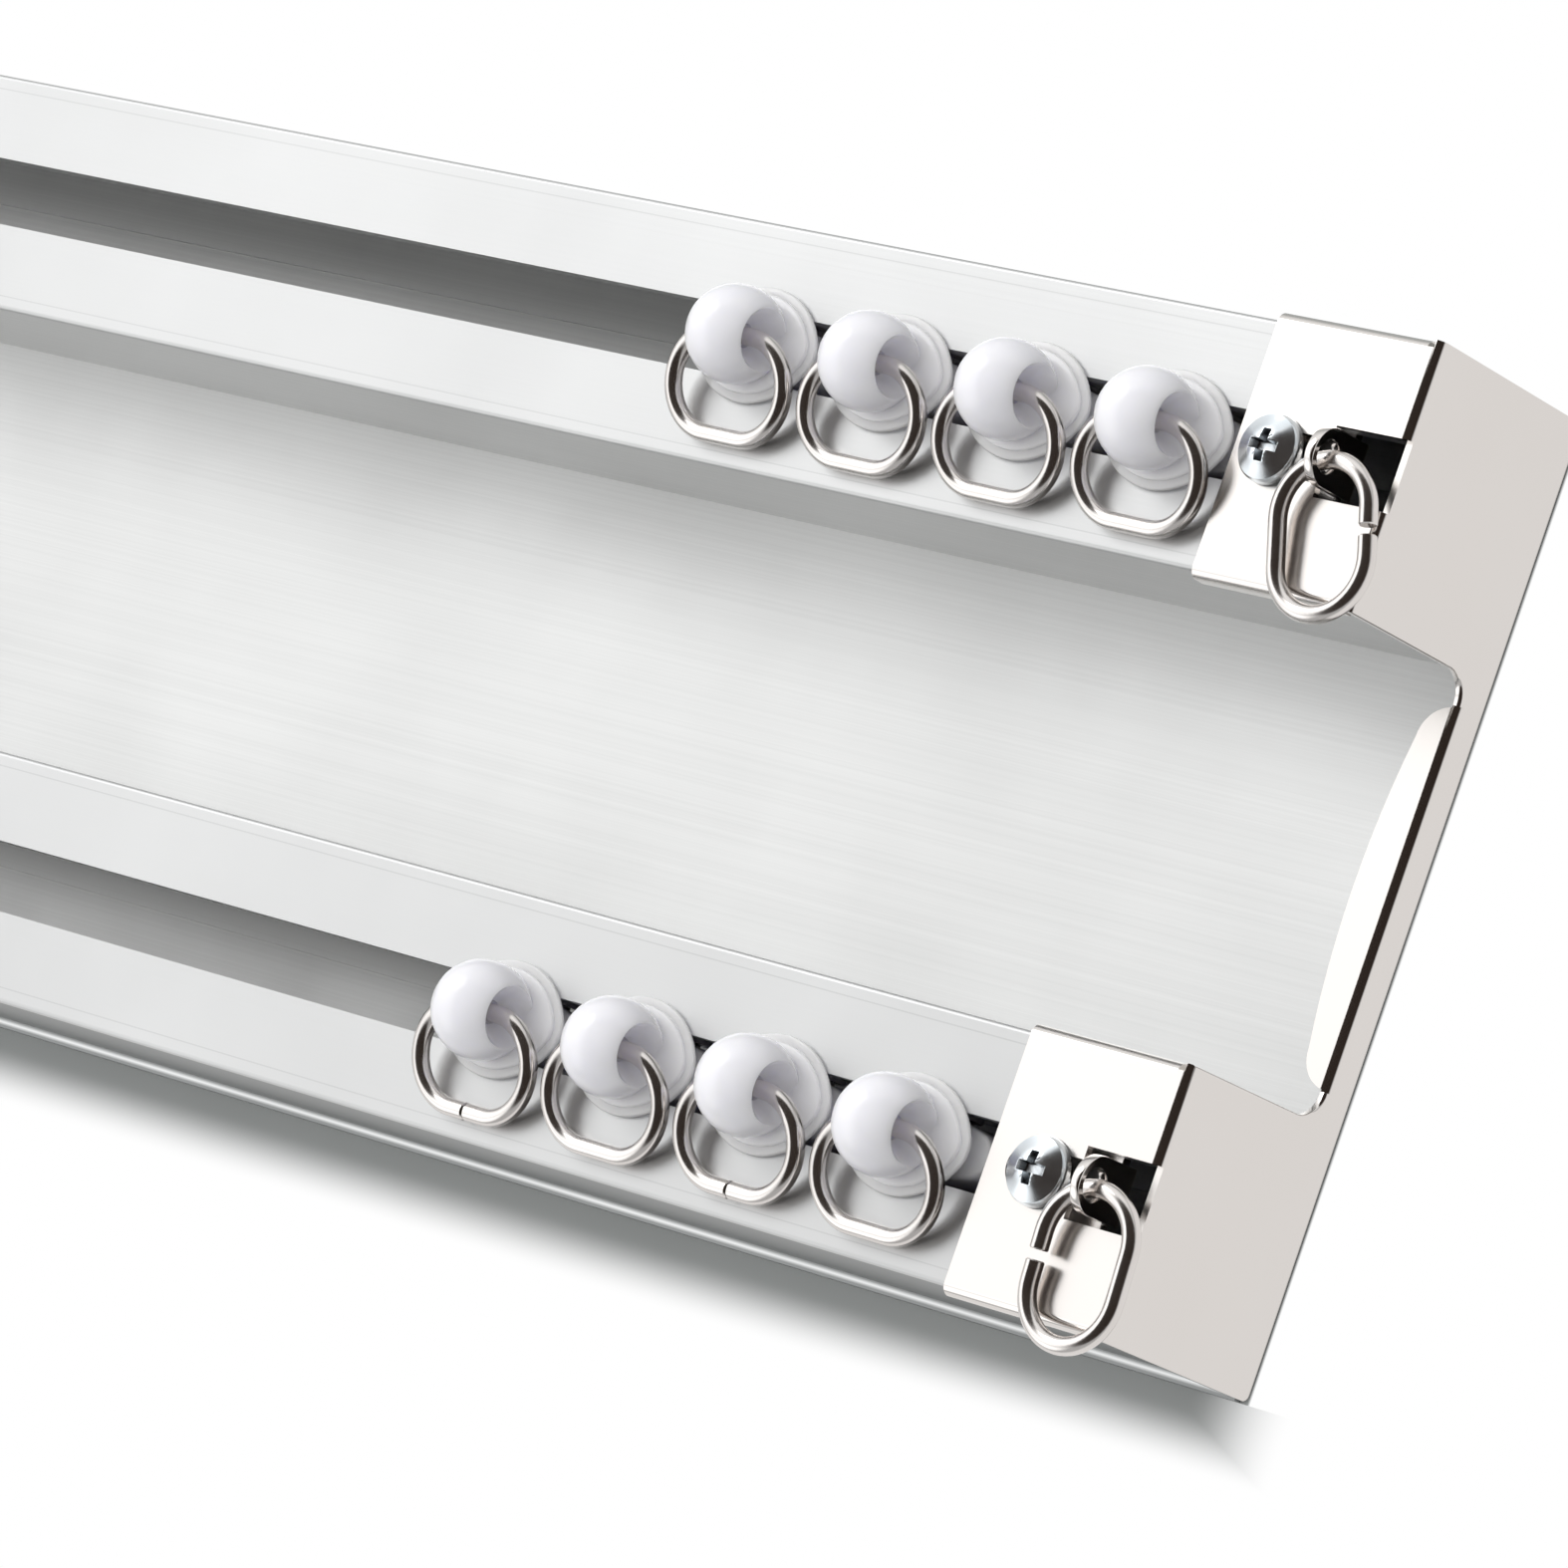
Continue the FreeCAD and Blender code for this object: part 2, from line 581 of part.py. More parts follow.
# How far a runner's ring leans down from its bore to rest on the track's face
ring_drop = value("ball_rise - wire / 2 - running_gap / 2")
RUNNER_LEAN = math.degrees(math.asin(ring_drop / value("2 * (%s)" % RING_ARC)))
# The runners whose ring has its butted ends on the free side, where they show
BUTT_OUT = ("front_1", "front_3")

nodes = [rail(), end_cap("end_cap_right", 1), end_cap("end_cap_left", -1)]
screws = []
for row, sign in (("rear", ""), ("front", "-")):
    eye, start = row + "_eye", row + "_start"
    across = "%s(%s)" % (sign, SLOT)
    for end, side in (("right", 1), ("left", -1)):
        name = "%s_%s" % (row, end)
        nodes.append(eye_anchor("eye_anchor_" + name, side, across, eye))
        screw_at = "%d * (%s - %s - anchor_to_screw)" % (side, CAP_FACE, eye)
        screws.append(cap_screw("cap_screw_" + name, screw_at, across))
        ring = wire_ring("eye_ring_" + name, "open_gap")
        hinge = Vector(side * value("%s - %s - anchor_sheet / 2" % (CAP_FACE, eye)),
                       value(across + " - hang_front"), value("rail_height + eye_rise - hang_down"))
        hang_ring(ring, side, row, hinge)
        nodes.append(ring)
    for number in range(4):
        name = "%s_%d" % (row, 4 - number)
        along = "%s - %s - %d * runner_pitch" % (CAP_FACE, start, number)
        nodes.append(runner_body("runner_" + name, along, across))
        ring = wire_ring("runner_ring_" + name, "butt_gap")
        turn_in = Placement()
        if name not in BUTT_OUT:
            turn_in = Placement(Vector(0, -2 * value(RING_ARC), 0), Rotation(Vector(0, 0, 1), 180))
        ring.Placement = Placement(Vector(value(along), value(across), value("rail_height + ball_rise")),
                                   Rotation(Vector(1, 0, 0), RUNNER_LEAN)) * turn_in
        nodes.append(ring)
        nodes.append(runner_axle("runner_axle_" + name, along, across))
        for wheel_side, word in ((1, "back"), (-1, "fore")):
            nodes.append(runner_wheel("runner_wheel_%s_%s" % (name, word), wheel_side, along, across))

screw_set = doc.addObject("Part::Compound", "cap_screws")
screw_set.Label = "cap_screws"
screw_set.Links = screws
nodes.append(screw_set)

doc.recompute()
for item in doc.Objects:
    if {"Invalid", "Error"} & set(item.State):
        raise RuntimeError("%s is %s" % (item.Label, item.State))
for node in nodes:
    if node.Shape.isNull() or not node.Shape.isValid():
        raise RuntimeError(node.Label + " has no valid shape")

os.makedirs("parts", exist_ok=True)
for node in nodes:
    node.Shape.exportStep("parts/%s.step" % node.Label)
print(len(nodes), "nodes")
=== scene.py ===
import json
import math

import bmesh
import bpy
from mathutils import Matrix, Vector

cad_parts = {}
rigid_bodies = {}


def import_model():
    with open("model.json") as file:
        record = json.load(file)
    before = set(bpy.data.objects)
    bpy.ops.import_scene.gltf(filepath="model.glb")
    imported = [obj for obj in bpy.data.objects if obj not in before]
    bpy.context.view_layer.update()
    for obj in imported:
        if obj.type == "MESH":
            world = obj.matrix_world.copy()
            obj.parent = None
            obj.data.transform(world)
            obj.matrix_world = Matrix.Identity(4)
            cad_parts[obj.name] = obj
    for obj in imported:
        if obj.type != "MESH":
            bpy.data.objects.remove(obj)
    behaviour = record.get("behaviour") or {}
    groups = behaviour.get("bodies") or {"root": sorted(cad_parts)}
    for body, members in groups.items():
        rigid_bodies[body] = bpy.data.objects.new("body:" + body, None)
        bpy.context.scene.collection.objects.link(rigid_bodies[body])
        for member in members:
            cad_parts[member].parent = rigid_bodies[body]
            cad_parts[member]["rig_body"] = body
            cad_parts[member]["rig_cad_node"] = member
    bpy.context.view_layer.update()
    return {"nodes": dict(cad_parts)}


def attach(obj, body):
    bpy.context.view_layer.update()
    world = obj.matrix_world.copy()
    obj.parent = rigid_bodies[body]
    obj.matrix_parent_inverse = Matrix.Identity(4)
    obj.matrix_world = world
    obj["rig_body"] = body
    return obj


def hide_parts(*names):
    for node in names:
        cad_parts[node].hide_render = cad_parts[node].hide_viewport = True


# A double curtain track that lies on its back with its slots up. X runs along it and Z is up.
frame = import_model()
parts = frame["nodes"]


# The rail is one length of aluminium, extruded with two slotted channels and the web between them, and
# sawn off square. Under its satin anodised skin the faces keep the fine lines that the die draws along it.
MM = 0.001
TOP_FACES = (23.2 * MM, 23.8 * MM)
# Past BEAD the rail's foot is painted: dark as painted shade, with a thin bright band of painted highlight
# along the bead between these edges.
BEAD = 49.99 * MM
BEAD_HIGHLIGHT = ((50.1 * MM, 50.4 * MM), (50.75 * MM, 50.45 * MM))
SCRIBED_LINES = (48.4 * MM, 25.3 * MM)
SCRIBED_HALF = 0.07 * MM


def shader_node(tree, kind, feeds=(), **settings):
    """Add a shader node, set its options, and feed its sockets with values or with other nodes' sockets."""
    node = tree.nodes.new(kind)
    for option, setting in settings.items():
        setattr(node, option, setting)
    for socket, feed in dict(feeds).items():
        if isinstance(feed, bpy.types.NodeSocket):
            tree.links.new(feed, node.inputs[socket])
        else:
            node.inputs[socket].default_value = feed
    return node


def reckon(tree, operation, *numbers):
    """Work out a number from up to three others."""
    return shader_node(tree, "ShaderNodeMath", dict(enumerate(numbers)), operation=operation).outputs[0]


def ramp(tree, number, start, end, low=0.0, high=1.0, shape="LINEAR"):
    """Map a number from the range start to end onto low to high, and hold it there."""
    feeds = {"Value": number, "From Min": start, "From Max": end, "To Min": low, "To Max": high}
    return shader_node(tree, "ShaderNodeMapRange", feeds, interpolation_type=shape).outputs[0]


def blend_colours(tree, mask, *colours):
    """Mix two colours by a mask. Each is three numbers or a node's socket."""
    first, second = (colour if isinstance(colour, bpy.types.NodeSocket) else (*colour, 1)
                     for colour in colours)
    return shader_node(tree, "ShaderNodeMix", {0: mask, 6: first, 7: second}, data_type="RGBA").outputs[2]


def object_place(tree):
    """Give a point's place on its piece, in metres."""
    return shader_node(tree, "ShaderNodeTexCoord").outputs["Object"]


def split_axes(tree, vector):
    """Give a vector's three numbers as the outputs X, Y and Z."""
    return shader_node(tree, "ShaderNodeSeparateXYZ", {0: vector}).outputs


def effect_group(name, inputs, outputs):
    """Start a shader node group with named number inputs and outputs."""
    tree = bpy.data.node_groups.new(name, "ShaderNodeTree")
    for socket, start in inputs.items():
        tree.interface.new_socket(socket, in_out="INPUT", socket_type="NodeSocketFloat").default_value = start
    for socket in outputs:
        tree.interface.new_socket(socket, in_out="OUTPUT", socket_type="NodeSocketFloat")
    return tree, tree.nodes.new("NodeGroupInput").outputs, tree.nodes.new("NodeGroupOutput").inputs


def use_group(tree, group, **values):
    """Place a shader node group in a material with its own values, and return its outputs."""
    node = tree.nodes.new("ShaderNodeGroup")
    node.node_tree = group
    for socket, number in values.items():
        node.inputs[socket.capitalize()].default_value = number
    return node.outputs


def finish_material(name, metallic, specular=0.5):
    """Start a material, and return it with its tree and its Principled shader."""
    material = bpy.data.materials.new(name)
    material.use_nodes = True
    shader = material.node_tree.nodes["Principled BSDF"]
    shader.inputs["Metallic"].default_value = metallic
    shader.inputs["Specular IOR Level"].default_value = specular
    return material, material.node_tree, shader


def coat_shader(tree, shader, colour, roughness):
    """Feed a Principled shader its colour and its roughness."""
    tree.links.new(colour, shader.inputs["Base Color"])
    tree.links.new(roughness, shader.inputs["Roughness"])


def bump(tree, shader, height, strength, distance):
    """Raise a material's surface by a height mask."""
    feeds = {"Height": height, "Strength": strength, "Distance": distance}
    tree.links.new(shader_node(tree, "ShaderNodeBump", feeds).outputs[0], shader.inputs["Normal"])


die_lines, lines_in, lines_out = effect_group("Die lines", {"Fineness": 1600.0, "Run": 2.5},
                                              ("Fine", "Broad"))
scale = shader_node(die_lines, "ShaderNodeCombineXYZ",
                    {"X": lines_in["Run"], "Y": lines_in["Fineness"], "Z": lines_in["Fineness"]}).outputs[0]
drawn = shader_node(die_lines, "ShaderNodeVectorMath", {0: object_place(die_lines), 1: scale},
                    operation="MULTIPLY").outputs[0]
for output, size, detail in (("Fine", 1.0, 3.0), ("Broad", 0.17, 2.0)):
    noise = shader_node(die_lines, "ShaderNodeTexNoise", {"Vector": drawn, "Scale": size, "Detail": detail})
    die_lines.links.new(noise.outputs[0], lines_out[output])

handling, marks_in, marks_out = effect_group("Handling marks", {"Size": 60.0}, ("Smudge",))
cloudy = shader_node(handling, "ShaderNodeTexNoise",
                     {"Vector": object_place(handling), "Scale": marks_in["Size"], "Detail": 4.0})
handling.links.new(cloudy.outputs[0], marks_out["Smudge"])

anodised, tree, shader = finish_material("Anodised aluminium", 1.0)
lines = use_group(tree, die_lines, fineness=3200.0, run=2.0)
smudge = use_group(tree, handling, size=35.0)["Smudge"]
skin = blend_colours(tree, lines["Fine"], (0.645, 0.65, 0.645), (0.75, 0.755, 0.75))
folded = shader_node(tree, "ShaderNodeVectorMath", {0: object_place(tree)}, operation="ABSOLUTE")
spot = split_axes(tree, folded.outputs[0])
# The top faces get a flat tone of their own, a little darker than the web's, so that under the lamp they
# shine no brighter than the web: painted shade for how the light falls on them.
faces = ramp(tree, spot["Z"], *TOP_FACES)
skin = blend_colours(tree, faces, skin, (0.665, 0.67, 0.67))
# Past BEAD the foot is painted dark, as painted shade, except a thin band of painted highlight along the
# bead.
highlight_sides = (ramp(tree, spot["Y"], *side) for side in BEAD_HIGHLIGHT)
painted_bead_highlight = reckon(tree, "MULTIPLY", *highlight_sides)
bead_light_and_shade = blend_colours(tree, painted_bead_highlight, (0.30, 0.31, 0.31), (0.83, 0.84, 0.84))
skin = blend_colours(tree, reckon(tree, "GREATER_THAN", spot["Y"], BEAD), skin, bead_light_and_shade)
# Two thin darker lines on the top faces: painted shade standing in for fine grooves that the mesh doesn't
# have.
outer, inner = (reckon(tree, "COMPARE", spot["Y"], line, SCRIBED_HALF) for line in SCRIBED_LINES)
painted_groove_shade = reckon(tree, "MULTIPLY", reckon(tree, "MAXIMUM", outer, inner), faces)
skin = blend_colours(tree, painted_groove_shade, skin, (0.585, 0.59, 0.59))
coat_shader(tree, shader, skin, ramp(tree, smudge, 0, 1, 0.36, 0.48))
bump(tree, shader, lines["Fine"], 0.25, 0.02 * MM)
for slot in parts["track"].material_slots:
    slot.material = anodised


# An end cap is one blank of thin nickel-plated steel sheet, folded over the rail's end: a face plate, a
# tray over each channel and a small lip on the web. The plating is bright, with the sheet's faint grain.
CAP_EDGE = 0.08 * MM
FOOT_CENTRE = Vector((47.8 * MM, 3.0 * MM))
FOOT_ROUND = 3.0 * MM
FOOT_TIGHT = 0.9 * MM


def select_only(*pieces):
    """Select these pieces and nothing else, and make the first one active."""
    bpy.ops.object.select_all(action="DESELECT")
    for piece in pieces:
        piece.select_set(True)
    bpy.context.view_layer.objects.active = pieces[0]


def open_mesh():
    """Enter edit mode on the active piece, with its whole mesh selected."""
    bpy.ops.object.mode_set(mode="EDIT")
    bpy.ops.mesh.select_all(action="SELECT")


def round_edges(piece, width, segments=2, angle=40):
    """Bevel all of a piece's edges that are sharper than an angle in degrees."""
    rounding = piece.modifiers.new("edges", "BEVEL")
    rounding.width = width
    rounding.segments = segments
    rounding.limit_method = "ANGLE"
    rounding.angle_limit = math.radians(angle)
    bpy.context.view_layer.objects.active = piece
    bpy.ops.object.modifier_apply(modifier=rounding.name)


def dressed_copy(node_name, name, edge, reshape=None):
    """Copy a CAD piece as a smooth mesh with slightly rounded edges, to stand for it."""
    piece = parts[node_name].copy()
    piece.data = parts[node_name].data.copy()
    piece.name = piece.data.name = name
    piece.parent = None
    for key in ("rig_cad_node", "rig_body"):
        if key in piece:
            del piece[key]
    bpy.context.scene.collection.objects.link(piece)
    select_only(piece)
    open_mesh()
    bpy.ops.mesh.remove_doubles(threshold=0.004 * MM)
    bpy.ops.mesh.dissolve_limited(angle_limit=math.radians(0.6))
    bpy.ops.object.mode_set(mode="OBJECT")
    if reshape:
        for vertex in piece.data.vertices:
            reshape(vertex)
    if piece.data.has_custom_normals:
        bpy.ops.mesh.customdata_custom_splitnormals_clear()
    round_edges(piece, edge)
    bpy.ops.object.shade_smooth_by_angle(angle=math.radians(30))
    levelling = piece.modifiers.new("levelling", "WEIGHTED_NORMAL")
    levelling.keep_sharp = True
    levelling.weight = 100
    bpy.ops.object.modifier_apply(modifier=levelling.name)
    return piece


def hand_over(piece, node_name, body, material):
    """Let a finished piece stand for a CAD node: its body and its material."""
    piece.data.materials.clear()
    piece.data.materials.append(material)
    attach(piece, body)
    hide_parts(node_name)


def tighten_foot(vertex):
    """Draw a face plate's lower corners in to the tight radius that the shears leave."""
    out = Vector((abs(vertex.co.y) - FOOT_CENTRE.x, FOOT_CENTRE.y - vertex.co.z))
    if out.x < 0 or out.y < 0 or abs(out.length - FOOT_ROUND) > 0.05 * MM:
        return
    shift = FOOT_ROUND - FOOT_TIGHT
    out = Vector((shift, shift)) + out * FOOT_TIGHT / FOOT_ROUND
    vertex.co.y = math.copysign(FOOT_CENTRE.x + out.x, vertex.co.y)
    vertex.co.z = FOOT_CENTRE.y - out.y


nickel, tree, shader = finish_material("Bright nickel plate", 1.0)
lines = use_group(tree, die_lines, fineness=500.0, run=12.0)
smudge = use_group(tree, handling, size=45.0)["Smudge"]
plate = blend_colours(tree, smudge, (0.77, 0.735, 0.705), (0.81, 0.78, 0.755))
normal = shader_node(tree, "ShaderNodeNewGeometry").outputs["Normal"]
rolled = ramp(tree, split_axes(tree, normal)["Z"], 0.985, 0.999, 0.05, 0.21)
coat_shader(tree, shader, plate, reckon(tree, "MULTIPLY_ADD", smudge, 0.08, rolled))
bump(tree, shader, lines["Broad"], 0.12, 0.04 * MM)
for side in ("right", "left"):
    cap = dressed_copy("end_cap_" + side, "folded_cap_" + side, CAP_EDGE, reshape=tighten_foot)
    hand_over(cap, "end_cap_" + side, "rail", nickel)


# Four cross-recessed pan-head screws clamp the caps and the eye anchors to the slots' lips. They are
# cold-headed steel with rolled threads, bright zinc with a bluish passivation.
SLOT_Y = {"rear": 36.9 * MM, "front": -36.9 * MM}
SIDES = {"right": 1, "left": -1}
TRAY_TOP = 24.8 * MM
SCREW_X = {"rear": 284.6 * MM, "front": 286.7 * MM}
HEAD_RADIUS = 3.6 * MM
HEAD_HEIGHT = 2.3 * MM
CREST_RADIUS = 1.75 * MM
ROOT_RADIUS = 1.45 * MM
SCREW_LENGTH = 6.0 * MM
THREAD_PITCH = 0.7 * MM
RECESS_BLADE = (4.4 * MM, 1.3 * MM, 2.6 * MM)
RECESS_TAPER = 0.62


def face_outwards(piece):
    """Turn all of a closed mesh's faces outwards, by the sign of the volume that they enclose."""
    bpy.context.view_layer.objects.active = piece
    open_mesh()
    bpy.ops.mesh.remove_doubles(threshold=0.002 * MM)
    bpy.ops.mesh.normals_make_consistent(inside=False)
    bpy.ops.object.mode_set(mode="OBJECT")
    shell = bmesh.new()
    shell.from_mesh(piece.data)
    if shell.calc_volume(signed=True) < 0:
        bmesh.ops.reverse_faces(shell, faces=shell.faces)
        shell.to_mesh(piece.data)
    shell.free()


def lathe(name, points, axis, steps):
    """Turn a profile in the XZ plane all the way round an axis through the origin into a closed solid."""
    mesh = bpy.data.meshes.new(name)
    mesh.from_pydata([(x, 0, z) for x, z in points], [(i, i + 1) for i in range(len(points) - 1)], [])
    piece = bpy.data.objects.new(name, mesh)
    bpy.context.scene.collection.objects.link(piece)
    select_only(piece)
    open_mesh()
    bpy.ops.mesh.spin(steps=steps, angle=2 * math.pi, center=(0, 0, 0), axis=axis)
    bpy.ops.object.mode_set(mode="OBJECT")
    face_outwards(piece)
    return piece


def arc_points(centre, radius, start, end, count):
    """List points along an arc of a profile, from one angle in degrees to another."""
    turns = [math.radians(start + (end - start) * i / (count - 1)) for i in range(count)]
    return [(centre[0] + radius * math.cos(t), centre[1] + radius * math.sin(t)) for t in turns]


def combine(piece, tool, operation):
    """Join a second solid to a piece, or cut it out, and delete it."""
    change = piece.modifiers.new("combine", "BOOLEAN")
    change.operation = operation
    change.solver = "EXACT"
    change.object = tool
    bpy.context.view_layer.objects.active = piece
    bpy.ops.object.modifier_apply(modifier=change.name)
    bpy.data.objects.remove(tool)


def pan_head_screw():
    """Model one screw at the origin, with the underside of its head at Z = 0."""
    crown = arc_points((0, -3.0 * MM), HEAD_HEIGHT + 3.0 * MM, 90, 62, 8)
    rim = [(HEAD_RADIUS - 0.25 * MM, 1.35 * MM), (HEAD_RADIUS - 0.05 * MM, 1.05 * MM),
           (HEAD_RADIUS, 0.75 * MM), (HEAD_RADIUS, 0.25 * MM), (HEAD_RADIUS - 0.2 * MM, 0)]
    thread = [(CREST_RADIUS, 0)]
    turn = 0.6 * MM
    while turn < SCREW_LENGTH - 0.8 * MM:
        thread += [(ROOT_RADIUS, -turn), (CREST_RADIUS, -turn - THREAD_PITCH * 0.4),
                   (CREST_RADIUS, -turn - THREAD_PITCH * 0.55)]
        turn += THREAD_PITCH
    tip = [(ROOT_RADIUS, -turn), (ROOT_RADIUS - 0.4 * MM, -SCREW_LENGTH), (0, -SCREW_LENGTH)]
    screw = lathe("screw", crown + rim + thread + tip, axis=(0, 0, 1), steps=48)
    for quarter in (0, math.pi / 2):
        bpy.ops.object.select_all(action="DESELECT")
        bpy.ops.mesh.primitive_cube_add(size=1, location=(0, 0, HEAD_HEIGHT))
        blade = bpy.context.object
        blade.scale = RECESS_BLADE
        blade.rotation_euler = (0, 0, quarter)
        bpy.ops.object.transform_apply(location=True, rotation=True, scale=True)
        for vertex in blade.data.vertices:
            if vertex.co.z < HEAD_HEIGHT:
                vertex.co.x *= RECESS_TAPER
                vertex.co.y *= RECESS_TAPER
        combine(screw, blade, "DIFFERENCE")
    select_only(screw)
    round_edges(screw, 0.07 * MM)
    bpy.ops.object.shade_smooth_by_angle(angle=math.radians(30))
    return screw


def placed_copy(source, name, matrix):
    """Copy a piece with its own mesh, and put its place in the mesh."""
    copy = source.copy()
    copy.data = source.data.copy()
    copy.name = copy.data.name = name
    copy.data.transform(matrix)
    bpy.context.scene.collection.objects.link(copy)
    return copy


zinc, tree, shader = finish_material("Bluish bright zinc", 1.0)
smudge = use_group(tree, handling, size=700.0)["Smudge"]
zinc_and_recess_shade = blend_colours(tree, smudge, (0.76, 0.83, 0.88), (0.90, 0.93, 0.95))
# The cross recess and other hollows are darkened by an ambient occlusion mask: painted shade over the bluish
# zinc.
painted_recess_shade = shader_node(tree, "ShaderNodeAmbientOcclusion", {"Distance": 1.3 * MM}, samples=8).outputs["AO"]
zinc_and_recess_shade = blend_colours(tree, ramp(tree, painted_recess_shade, 0.45, 0.85), (0.20, 0.21, 0.22), zinc_and_recess_shade)
coat_shader(tree, shader, zinc_and_recess_shade, ramp(tree, smudge, 0, 1, 0.14, 0.26))
bump(tree, shader, smudge, 0.2, 0.03 * MM)
first_screw = pan_head_screw()
screws = [placed_copy(first_screw, "pan_head_screws",
                      Matrix.Translation((side * SCREW_X[row], slot_y, TRAY_TOP)))
          for row, slot_y in SLOT_Y.items() for side in SIDES.values()]
select_only(*screws)
bpy.ops.object.join()
bpy.data.objects.remove(first_screw)
hand_over(screws[0], "cap_screws", "rail", zinc)


# An eye anchor is a strip of plated steel that the cap screw clamps under the slot's lips. Its outer end
# is bent up through the slot, and its tip is rounded and pierced as the eye.
ANCHOR_EDGE = 0.12 * MM
for row in SLOT_Y:
    for side in SIDES:
        node_name = "eye_anchor_%s_%s" % (row, side)
        anchor = dressed_copy(node_name, "eye_strip_%s_%s" % (row, side), ANCHOR_EDGE)
        hand_over(anchor, node_name, "rail", nickel)


# Every ring is a length of nickel-plated steel wire, cropped and bent to an oval of about 17 by 12 mm.
# The four rings in the eyes are left a millimetre open, for the last hook of each curtain.
WIRE = 1.9 * MM
WIRE_SIDES = 24
CROPPED_EDGE = 0.12 * MM
RING_LENGTH = 17.3 * MM
RING_WIDTH = 12.5 * MM
BEND_RADIUS = (RING_WIDTH - WIRE) / 2
BEND_STEPS = 28
STRAIGHT = RING_LENGTH - RING_WIDTH
EYE_X = {"rear": 292.75 * MM, "front": 294.85 * MM}
EYE_BACK = 0.3 * MM
EYE_HEIGHT = 26.9 * MM
# In each row the ring is turned aside, slipped round its bend in the eye, and dipped, by so many degrees.
EYE_TURN = {"rear": 17.0, "front": 0.0}
EYE_SLIP = {"rear": 0.0, "front": 13.0}
EYE_DIP = 4.1


def bent_wire(name, gap):
    """Bend a wire oval flat in the XY plane: its whole side through the origin, its ends on the other."""
    bpy.ops.object.select_all(action="DESELECT")
    bpy.ops.mesh.primitive_circle_add(vertices=WIRE_SIDES, radius=WIRE / 2 - CROPPED_EDGE, fill_type="NGON",
                                      location=(gap / 2, -2 * BEND_RADIUS, 0), rotation=(0, math.pi / 2, 0))
    ring = bpy.context.object
    ring.name = ring.data.name = name
    bpy.ops.object.transform_apply(location=True, rotation=True, scale=True)
    open_mesh()

    def draw(length, widen=1):
        bpy.ops.mesh.extrude_region_move(TRANSFORM_OT_translate={"value": (length, 0, 0)})
        if widen != 1:
            bpy.ops.transform.resize(value=(1, widen, widen), center_override=(0, -2 * BEND_RADIUS, 0))

    def bend(centre_x):
        bpy.ops.mesh.spin(steps=BEND_STEPS, angle=-math.pi, center=(centre_x, -BEND_RADIUS, 0),
                          axis=(0, 0, 1))

    half = STRAIGHT / 2 - gap / 2 - CROPPED_EDGE
    full_width = (WIRE / 2) / (WIRE / 2 - CROPPED_EDGE)
    draw(CROPPED_EDGE, widen=full_width)
    draw(half)
    bend(STRAIGHT / 2)
    draw(-STRAIGHT)
    bend(-STRAIGHT / 2)
    draw(half)
    draw(CROPPED_EDGE, widen=1 / full_width)
    bpy.ops.object.mode_set(mode="OBJECT")
    face_outwards(ring)
    bpy.ops.object.shade_smooth_by_angle(angle=math.radians(35))
    return ring


def turned(degrees, axis):
    """Give a turn about an axis through the origin."""
    return Matrix.Rotation(math.radians(degrees), 4, axis)


bright_wire, tree, shader = finish_material("Polished nickel wire", 1.0)
smudge = use_group(tree, handling, size=220.0)["Smudge"]
wire_colour = blend_colours(tree, smudge, (0.74, 0.70, 0.67), (0.83, 0.80, 0.78))
coat_shader(tree, shader, wire_colour, ramp(tree, smudge, 0, 1, 0.13, 0.23))
bump(tree, shader, smudge, 0.10, 0.04 * MM)
open_ring = bent_wire("open_ring", 1.0 * MM)
for row, slot_y in SLOT_Y.items():
    slip = math.radians(EYE_SLIP[row])
    for side_name, side in SIDES.items():
        pivot = Vector((-side * BEND_RADIUS * math.sin(slip), STRAIGHT / 2 + BEND_RADIUS * math.cos(slip), 0))
        quarter = 90 * side if row == "rear" else -90 * side
        hung = (Matrix.Translation((side * EYE_X[row], slot_y - EYE_BACK, EYE_HEIGHT))
                @ turned(side * (EYE_TURN[row] + EYE_SLIP[row]), "Z") @ turned(EYE_DIP, "X")
                @ turned(-side * EYE_SLIP[row], "Z") @ Matrix.Translation(-pivot)
                @ turned(quarter, "Z") @ Matrix.Translation((0, BEND_RADIUS, 0)))
        name = "%s_%s" % (row, side_name)
        ring = placed_copy(open_ring, "open_ring_" + name, hung)
        hand_over(ring, "eye_ring_" + name, "eye_" + name, bright_wire)
bpy.data.objects.remove(open_ring)


# A runner is one moulding in glossy translucent nylon. A ball-shaped head carries the ring in a bore with
# wide mouths, a stepped oval flange covers the slot, and a neck leads down to the carriage in the channel.
TRACK_FACE = 24.0 * MM
BALL_RADIUS = 5.2 * MM
BALL_RISE = 4.0 * MM
BORE_RADIUS = 1.25 * MM
HALF_WEB = 1.25 * MM
MOUTH_TURN = 41.5
DISH_STEPS = 14
TIP_SHARE = math.radians(38)
AXLE_BORE_RADIUS = 1.35 * MM
AXLE_DEPTH = 6.7 * MM
RUNNER_START = {"rear": 270.6 * MM, "front": 268.6 * MM}
RUNNER_PITCH = 18.6 * MM


